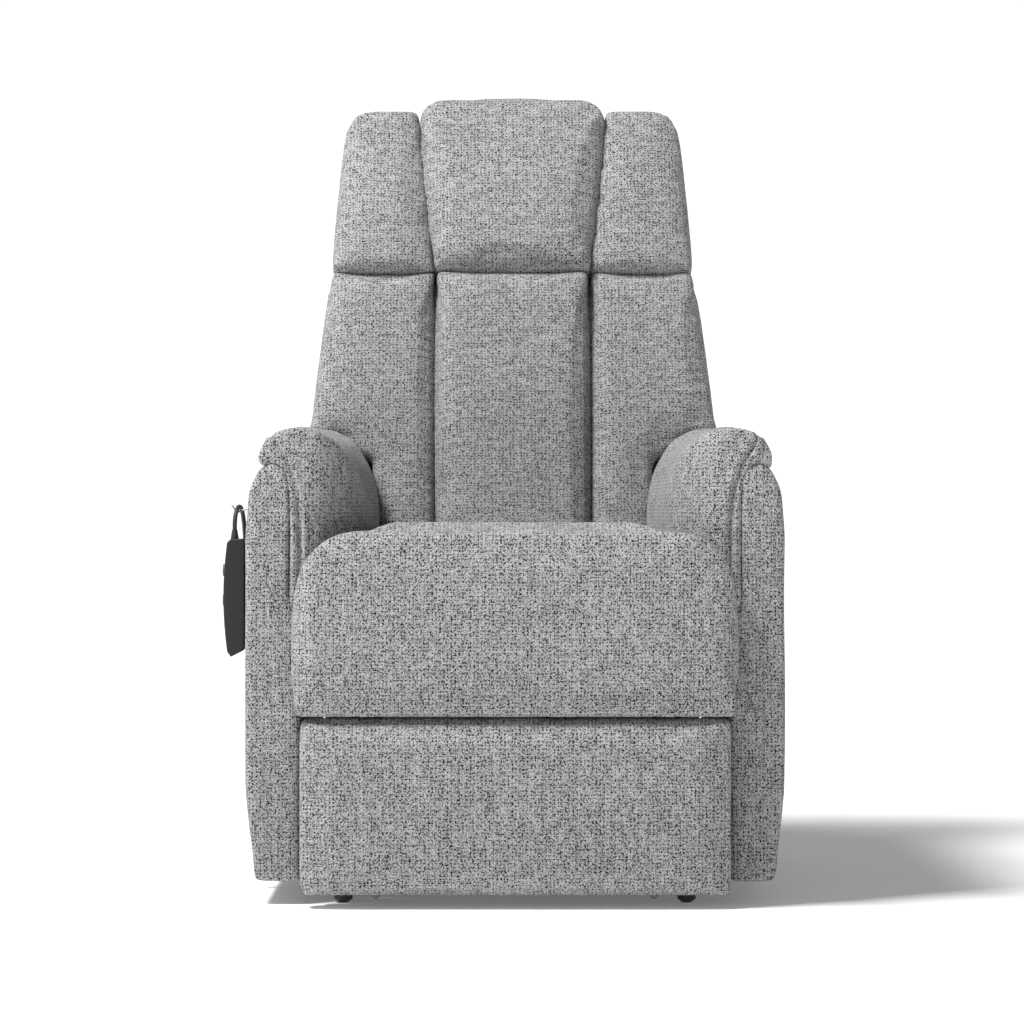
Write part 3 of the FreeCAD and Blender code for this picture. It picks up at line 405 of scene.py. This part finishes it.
for side_name in ("right", "left"):
    panel_node = "arm_panel_" + side_name
    pad_node = "arm_pad_" + side_name
    panel = padding(panel_node + "_cover", panel_node, 0.0065, 7)
    place, normal = points(panel)
    put_points(panel, place + normal * (0.0012 * ripple(place, 9))[:, None])
    upholstered(panel, panel_node, "seat", chunky)
    pad_low, pad_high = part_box(pad_node)
    pad = padding(pad_node + "_cover", pad_node, 0.0048, 11)
    place, normal = points(pad)
    across = np.abs(place[:, 0] - MID_X)
    behind = place[:, 1] - pad_low.y
    swell = (0.003 * np.clip((behind - 0.03) / 0.08, 0, 1)
             + 0.007 * np.clip((behind - 0.36) / 0.1, 0, 1))
    swell *= across < 0.30
    put_points(pad, place + normal * (swell + 0.0010 * ripple(place, 13))[:, None])
    inner = (across < 0.296) & (place[:, 2] > pad_low.z + 0.05)
    puff(pad, inner & (place[:, 2] < pad_high.z - 0.02), cap=0.004)
    upholstered(pad, pad_node, "seat", chunky, facing_seam)

# ---- back pads -------------------------------------------------------------------------------
# Six pads in a finer weave of level rows, three columns of lumbar pad and headrest. Their edges
# roll into deep seams, and the headrests are fullest low down, where they hang over the seam.
LEAN = math.radians(16)
# flatter loops drawn 4.2 mm apart, with slubs that run across the back
basket = woven("grey_melange_basket_weave", 0.0042, 0.80, 0.42, LEAN, "#c0c0c0", "#242425",
               0.0008, (0.4, 1.0, 2.0))
WING_TOP = 0.66       # height just above the arms, where the side pads widen over them
ROWS = 40             # strips up a pad, each measured for its own width
ahead = np.array((0, -math.cos(LEAN), math.sin(LEAN)))
up_back = np.array((0, math.sin(LEAN), math.cos(LEAN)))
for name, crown in (("back_lumbar_centre", 0.008), ("back_headrest_centre", 0.015),
                    ("back_lumbar_left", 0.010), ("back_lumbar_right", 0.010),
                    ("back_headrest_left", 0.014), ("back_headrest_right", 0.014)):
    low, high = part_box(name)
    piece = padding(name + "_cover", name, 0.006, 7)
    place, normal = points(piece)
    w = place @ up_back
    share = (w - w.min()) / (w.max() - w.min())
    rows = np.clip((share * ROWS).astype(int), 0, ROWS - 1)
    inside = np.empty(len(w))
    for row in range(ROWS):
        here = rows == row
        if here.any():
            left, right = place[here, 0].min(), place[here, 0].max()
            inside[here] = hump(place[here, 0], left, right)
    facing = np.clip(normal @ ahead, 0, 1)
    if "headrest" in name:
        fullness = np.clip(share / 0.08, 0, 1) ** 0.4 * (1 - 0.8 * share ** 1.5)
    else:
        fullness = 0.5 + 0.5 * np.cos(share * 2.2) ** 2 - 0.7 * np.clip((share - 0.90) / 0.10, 0, 1)
    swell = crown * inside ** 0.45 * fullness * facing
    place = place + ahead * (swell + 0.0008 * ripple(place, 15) * facing)[:, None]
    place = place + normal * 0.0012
    if "lumbar" in name and "centre" not in name:
        outward = np.clip(normal[:, 0] * np.sign(place[:, 0] - MID_X), 0, 1)
        below_arm = np.clip((WING_TOP - place[:, 2]) / 0.02, 0, 1)
        place[:, 0] += np.sign(place[:, 0] - MID_X) * 0.005 * outward * below_arm
        place[:, 2] -= 0.002 * np.clip(-normal[:, 2], 0, 1) * (place[:, 2] > WING_TOP - 0.03)
    if name == "back_headrest_centre":
        top = np.clip((share - 0.9) / 0.1, 0, 1)
        place[:, 2] += 0.004 * top * inside
    put_points(piece, place)
    depth = -(place @ ahead)
    puff(piece, depth < depth.min() + 0.05, cap=0.005)
    upholstered(piece, name, "back", basket)

# ---- rear cover and skirt --------------------------------------------------------------------
# The same chunky cloth, stretched over the back's frame and hung behind the seat.
cover = padding("back_cover_cloth", "back_cover", 0.008, 5)
upholstered(cover, "back_cover", "back", chunky)
skirt = padding("rear_skirt_cloth", "rear_skirt", 0.005, 1)
upholstered(skirt, "rear_skirt", "seat", chunky)

# ---- steel frame and linkages ----------------------------------------------------------------
# Bent and welded steel tube, plate and flat bar in a black powder coat with a fine orange-peel
# surface. Pins, bolts and push rods are bare metal.


def coated(name, colour, roughness, grain, bump_depth, metallic=0.0):
    """A solid finish with fine grain in its surface and slight changes in colour and gloss."""
    material, tree, shader = new_material(name)
    place = add(tree, "TexCoord").outputs["Object"]
    fine = add(tree, "TexNoise", {"Vector": place, "Scale": grain, "Detail": 3.0})
    broad = add(tree, "TexNoise", {"Vector": place, "Scale": 14.0, "Detail": 4.0})
    rough = add(tree, "MapRange", {"Value": broad.outputs["Fac"], "From Min": 0.3, "From Max": 0.7,
                                   "To Min": roughness - 0.07, "To Max": roughness + 0.07})
    tree.links.new(rough.outputs["Result"], shader.inputs["Roughness"])
    base = linear(colour)
    lighter = tuple(min(1.0, c * 1.25 + 0.002) for c in base[:3]) + (1.0,)
    tint = add(tree, "Mix", {0: broad.outputs["Fac"], 6: base, 7: lighter}, data_type="RGBA")
    tree.links.new(tint.outputs[2], shader.inputs["Base Color"])
    bump = add(tree, "Bump", {"Height": fine.outputs["Fac"], "Strength": 0.35,
                              "Distance": bump_depth})
    tree.links.new(bump.outputs["Normal"], shader.inputs["Normal"])
    shader.inputs["Metallic"].default_value = metallic
    return material


def dress(slot, material):
    """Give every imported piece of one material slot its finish."""
    for entry in frame["record"]["subparts"]:
        if entry["material_slot"] == slot:
            mesh = NODES[entry["node"]].data
            mesh.materials.clear()
            mesh.materials.append(material)


dress("frame_black", coated("black_powder_coat", "#1b1b1c", 0.45, 700.0, 0.0002))
dress("zinc", coated("zinc_plated_steel", "#9a9b9c", 0.35, 500.0, 0.0001, metallic=1.0))
dress("rod_steel", coated("ground_steel_rod", "#b9babb", 0.2, 900.0, 0.00005, metallic=1.0))
dress("spring_wire", coated("drawn_spring_wire", "#77787a", 0.35, 800.0, 0.0001, metallic=1.0))

# ---- glides, actuators and control box -------------------------------------------------------
# Moulded black plastic: glass-filled housings on the motors and the control box, and smooth nylon
# glides under the frame.
dress("motor_plastic", coated("black_moulded_plastic", "#232324", 0.5, 600.0, 0.0002))
dress("glide_plastic", coated("black_nylon", "#1d1d1e", 0.4, 500.0, 0.0001))

# ---- boards inside the back, the arms and the footrest ---------------------------------------
# Birch plywood, its grain running across the chair. The boards of the back and the footrest are
# wrapped in the cover's cloth, so that no wood shows between pad and rear cover.


def plywood(name):
    material, tree, shader = new_material(name)
    place = add(tree, "TexCoord").outputs["Object"]
    along = add(tree, "Mapping", {"Vector": place, "Scale": (6.0, 60.0, 60.0)}).outputs["Vector"]
    rings = add(tree, "TexNoise", {"Vector": along, "Scale": 2.2, "Detail": 6.0, "Distortion": 1.2})
    colour = add(tree, "Mix", {0: rings.outputs["Fac"], 6: linear("#8f6b42"), 7: linear("#c9a878")},
                 data_type="RGBA")
    tree.links.new(colour.outputs[2], shader.inputs["Base Color"])
    bump = add(tree, "Bump", {"Height": rings.outputs["Fac"], "Strength": 0.3, "Distance": 0.0004})
    tree.links.new(bump.outputs["Normal"], shader.inputs["Normal"])
    shader.inputs["Roughness"].default_value = 0.6
    return material


dress("ply", plywood("birch_plywood"))
for wrapped in ("back_board", "footrest_board"):
    NODES[wrapped].data.materials.clear()
    NODES[wrapped].data.materials.append(chunky)

# ---- handset ---------------------------------------------------------------------------------
# Two satin charcoal shells that clip together, with soft grey rubber keys.
dress("handset_plastic", coated("charcoal_satin_plastic", "#111112", 0.5, 1200.0, 0.00008))
dress("button_rubber", coated("soft_key_rubber", "#6a6b6d", 0.7, 900.0, 0.0001))

# ---- handset cord ----------------------------------------------------------------------------
# From the handset up and over the wire hook, down the arm's outer side, under the arm and up to
# the control box.
X0, Y0 = MID_X, ARM_FRONT_Y
CORD_R = 0.003
CORD_POINTS = [
    (-0.3770, 0.0520, 0.4990),
    (-0.3770, 0.0520, 0.5120),
    (-0.3755, 0.0580, 0.5240),
    (-0.3730, 0.0700, 0.5310),
    (-0.3705, 0.0840, 0.5290),
    (-0.3685, 0.0950, 0.5170),
    (-0.3670, 0.1030, 0.4950),
    (-0.3660, 0.1160, 0.4520),
    (-0.3655, 0.1430, 0.3850),
    (-0.3650, 0.1720, 0.3100),
    (-0.3650, 0.1930, 0.2300),
    (-0.3650, 0.2020, 0.1550),
    (-0.3640, 0.2050, 0.0950),
    (-0.3620, 0.2050, 0.0520),
    (-0.3530, 0.2040, 0.0240),
    (-0.3300, 0.2030, 0.0110),
    (-0.3000, 0.2010, 0.0140),
    (-0.2780, 0.1970, 0.0240),
    (-0.2680, 0.1890, 0.0460),
    (-0.2660, 0.1830, 0.0700),
    (-0.2660, 0.1810, 0.0920),
    (-0.2660, 0.1810, 0.1100),
]
route = [Vector((x + X0, y + Y0, z)) for x, y, z in CORD_POINTS]
curve = bpy.data.curves.new("handset_cord_line", "CURVE")
curve.dimensions = "3D"
spline = curve.splines.new("NURBS")
spline.points.add(len(route) - 1)
for point, place in zip(spline.points, route):
    point.co = (*place, 1.0)
spline.order_u = 3
spline.use_endpoint_u = True
spline.resolution_u = 12
line_object = bpy.data.objects.new("handset_cord_line", curve)
scene.collection.objects.link(line_object)
bpy.context.view_layer.update()
line_mesh = bpy.data.meshes.new_from_object(line_object)
path = [v.co.copy() for v in line_mesh.vertices]
bpy.data.meshes.remove(line_mesh)
bpy.data.objects.remove(line_object)


def tube(name, path, radius, sides):
    """A round tube along a path, with closed ends, turned without twist."""
    form = bmesh.new()
    rings = []
    normal = Vector((1, 0, 0))
    for index, point in enumerate(path):
        ahead = path[min(index + 1, len(path) - 1)] - path[max(index - 1, 0)]
        ahead.normalize()
        normal = (normal - ahead * normal.dot(ahead)).normalized()
        other = ahead.cross(normal)
        ring = []
        for step in range(sides):
            angle = 2 * math.pi * step / sides
            place = point + (normal * math.cos(angle) + other * math.sin(angle)) * radius
            ring.append(form.verts.new(place))
        rings.append(ring)
    for first, second in zip(rings, rings[1:]):
        for step in range(sides):
            after = (step + 1) % sides
            form.faces.new((first[step], first[after], second[after], second[step]))
    form.faces.new(list(reversed(rings[0])))
    form.faces.new(rings[-1])
    bmesh.ops.recalc_face_normals(form, faces=form.faces)
    mesh = bpy.data.meshes.new(name)
    form.to_mesh(mesh)
    for polygon in mesh.polygons:
        polygon.use_smooth = True
    piece = bpy.data.objects.new(name, mesh)
    scene.collection.objects.link(piece)
    return piece


cord = tube("handset_cable", path, CORD_R, 16)
cord_sheath = coated("black_cable_sheath", "#2a2a2b", 0.5, 700.0, 0.0001)
dress("cord_black", cord_sheath)
cord.data.materials.append(cord_sheath)
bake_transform(cord)
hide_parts("handset_cord")
